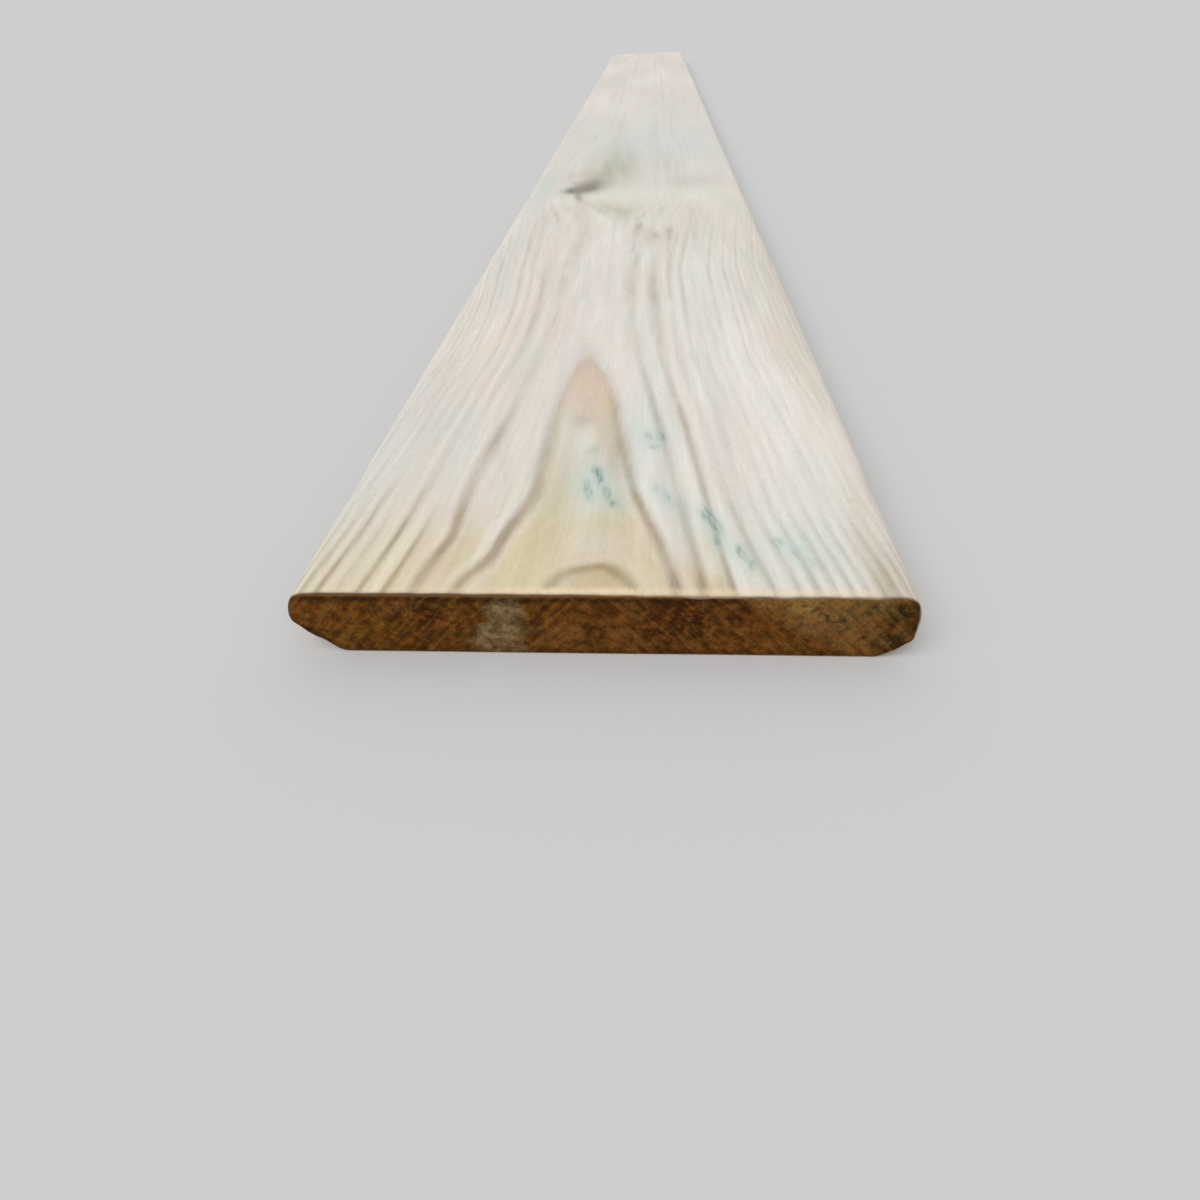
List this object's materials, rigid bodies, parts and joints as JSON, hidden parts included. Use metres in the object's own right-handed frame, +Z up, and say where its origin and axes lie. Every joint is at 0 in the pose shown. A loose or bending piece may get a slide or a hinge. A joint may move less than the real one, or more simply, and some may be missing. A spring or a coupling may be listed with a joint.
{
  "type": "fence board",
  "caption": "Flat planed softwood fence board with eased long edges, some wane on its lower edges and square-cut ends.",
  "frame": {"origin": "middle of the board's underside", "axes": "+Y along the length away from the end seen in the picture, +X across the width, +Z up through the thickness"},
  "size_m": [0.15, 1.8, 0.019],
  "materials": {
    "treated_pine": "planed softwood, pale and unsealed, with a faint green tint left by preservative"
  },
  "bodies": {
    "root": {"fence_board": "treated_pine"}
  },
  "joints": []
}
